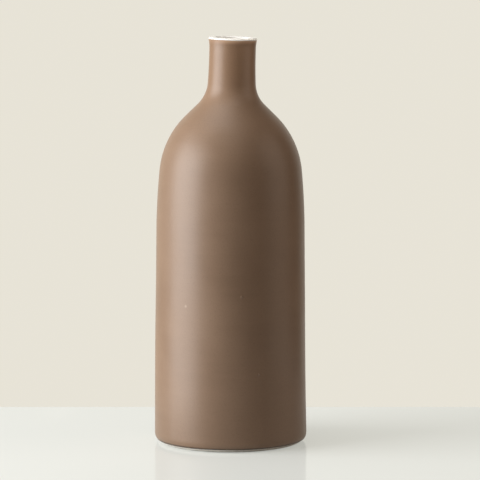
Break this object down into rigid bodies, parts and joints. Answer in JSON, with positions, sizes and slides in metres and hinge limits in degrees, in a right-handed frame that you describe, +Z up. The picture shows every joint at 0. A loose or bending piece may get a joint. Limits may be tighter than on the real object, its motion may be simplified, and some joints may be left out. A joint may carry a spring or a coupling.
{
  "type": "bottle vase",
  "caption": "Tall round bottle vase with a straight body, sloping shoulder and slim neck, glazed satin brown outside and gloss white inside, for a few stems in water.",
  "frame": {"origin": "centre of the foot, on the surface the vase stands on", "axes": "+Z up the vase's axis, from the foot to the mouth; the vase is round, so X and Y are free"},
  "size_m": [0.1144, 0.1144, 0.305],
  "materials": {
    "bare_stoneware": "matte",
    "brown_satin_glaze": "satin",
    "white_gloss_glaze": "gloss"
  },
  "bodies": {
    "root": {"clay_body": "bare_stoneware", "outer_glaze": "brown_satin_glaze", "inner_glaze": "white_gloss_glaze", "underside_glaze": "brown_satin_glaze"}
  },
  "joints": []
}
